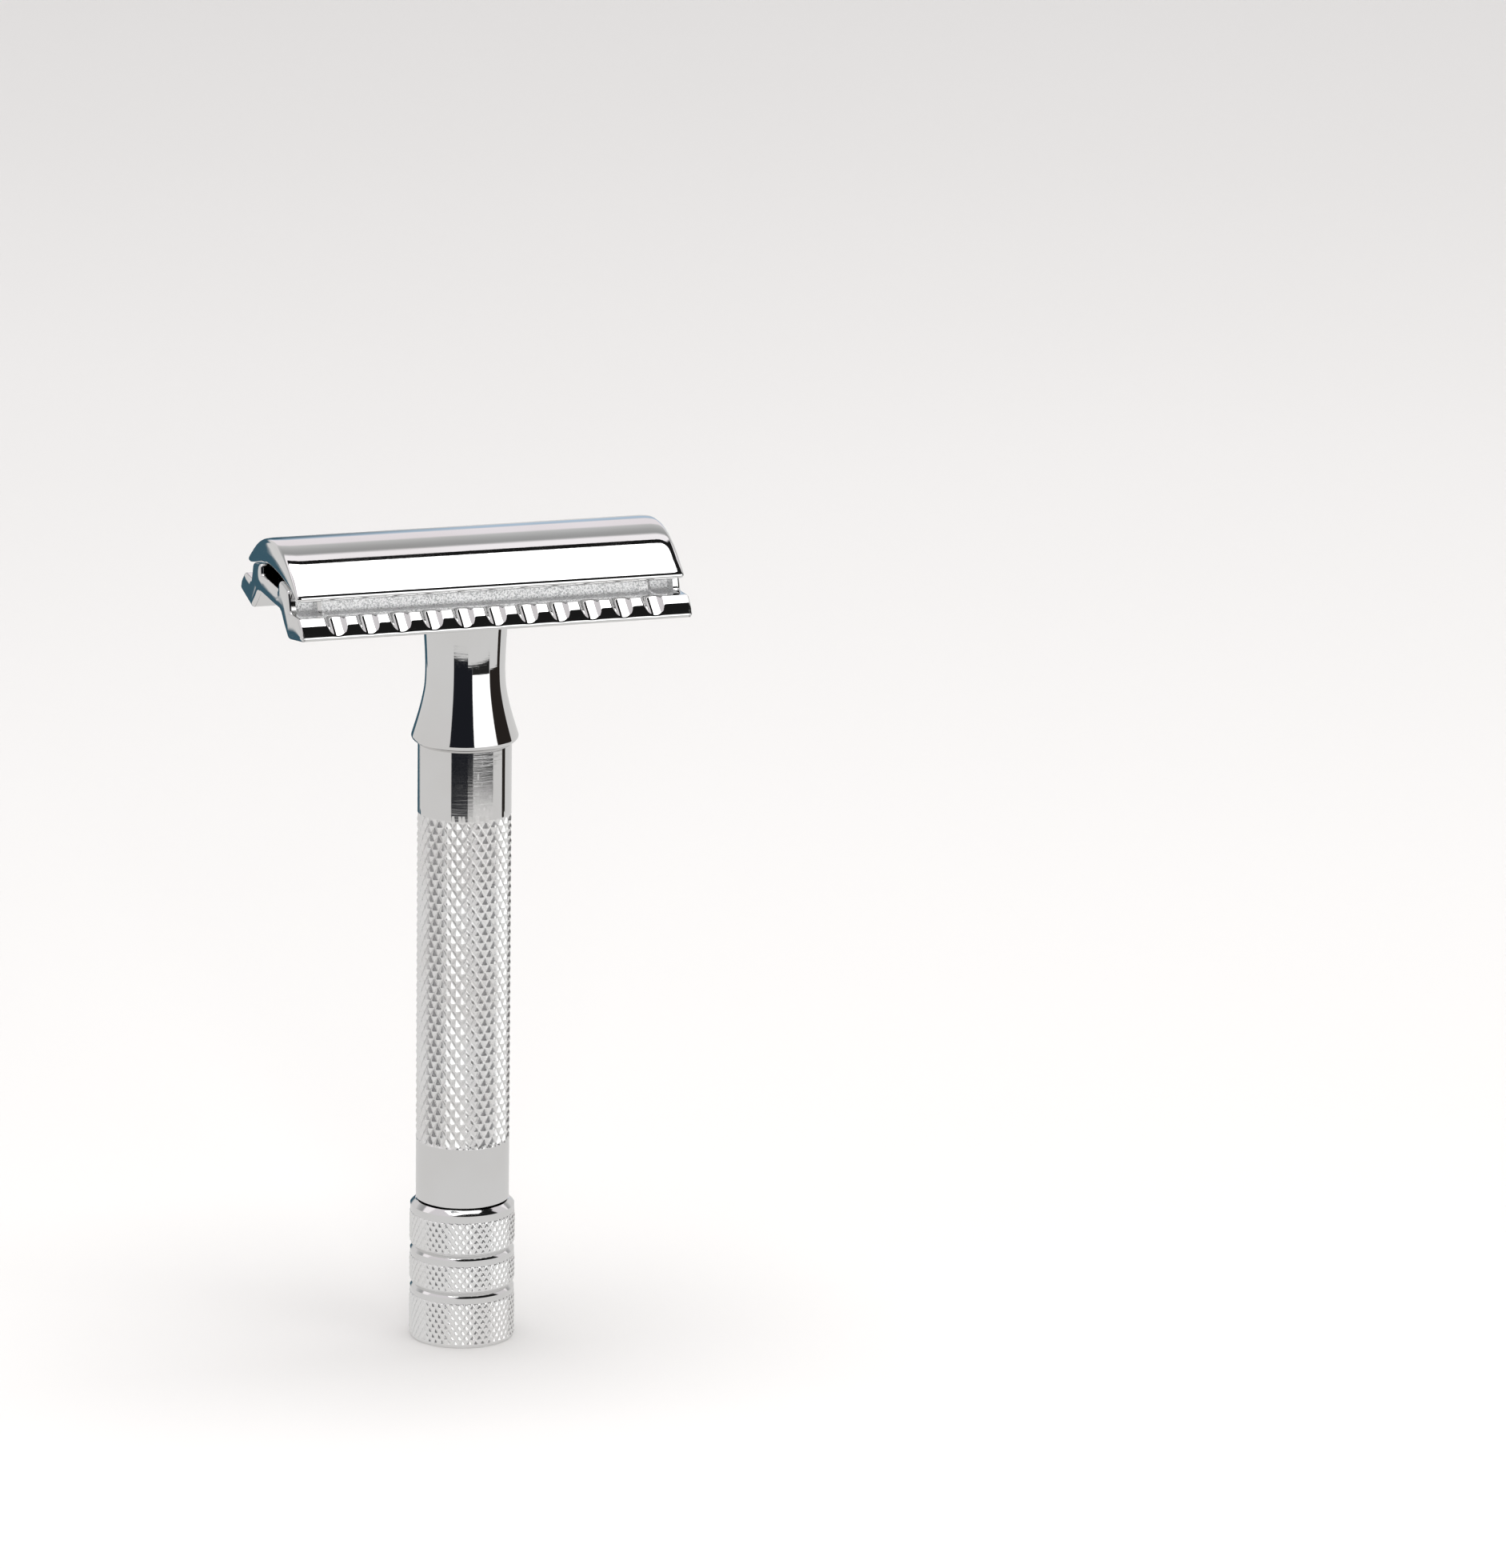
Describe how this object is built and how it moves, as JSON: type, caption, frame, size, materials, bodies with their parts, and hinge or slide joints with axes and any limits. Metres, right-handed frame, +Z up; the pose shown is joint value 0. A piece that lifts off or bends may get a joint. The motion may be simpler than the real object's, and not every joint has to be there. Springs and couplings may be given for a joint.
{
  "type": "double-edge safety razor",
  "caption": "Chromed safety razor: domed cap over a scalloped base plate, belled neck, diamond-knurled handle and a ringed twist knob that loosens the cap.",
  "frame": {"origin": "centre of the knob's flat end, on the surface the razor stands on", "axes": "+Z up the handle to the cap, +X along the head's length, +Y across the head"},
  "size_m": [0.0422, 0.024, 0.0867],
  "materials": {
    "cap_chrome": "polished chrome plate",
    "plate_chrome": "chrome plate over a casting, polished outside and satin in the recesses",
    "neck_chrome": "polished chrome plate",
    "handle_chrome": "chrome plate over diamond knurling, polished at the top",
    "knob_chrome": "chrome plate over fine diamond knurling",
    "stud_metal": "thin chrome plate over threaded brass",
    "inner_brass": "turned",
    "inner_steel": "turned"
  },
  "bodies": {
    "handle": {"base_plate": "plate_chrome", "neck_collar": "neck_chrome", "handle_tube": "handle_chrome", "rod_bush": "inner_brass"},
    "knob": {"knob": "knob_chrome", "knob_screw": "inner_steel", "draw_rod": "inner_steel", "threaded_socket": "inner_brass", "thrust_washer": "inner_brass", "wave_washer": "inner_steel", "retaining_clip": "inner_steel"},
    "cap": {"cap": "cap_chrome", "cap_stud": "stud_metal", "cap_pin_left": "stud_metal", "cap_pin_right": "stud_metal"}
  },
  "joints": [
    {"name": "knob_turn", "type": "hinge", "parent": "handle", "child": "knob", "pos_m": [0, 0, 0], "axis": [0, 0, -1], "range_deg": [0, 2880]},
    {"name": "cap_lift", "type": "slide", "parent": "handle", "child": "cap", "axis": [0, 0, 1], "range_m": [0, 0.00636]}
  ],
  "couplings": [
    {"joint": "cap_lift", "follows": "knob_turn", "m_per_rad": 0.00012633}
  ]
}
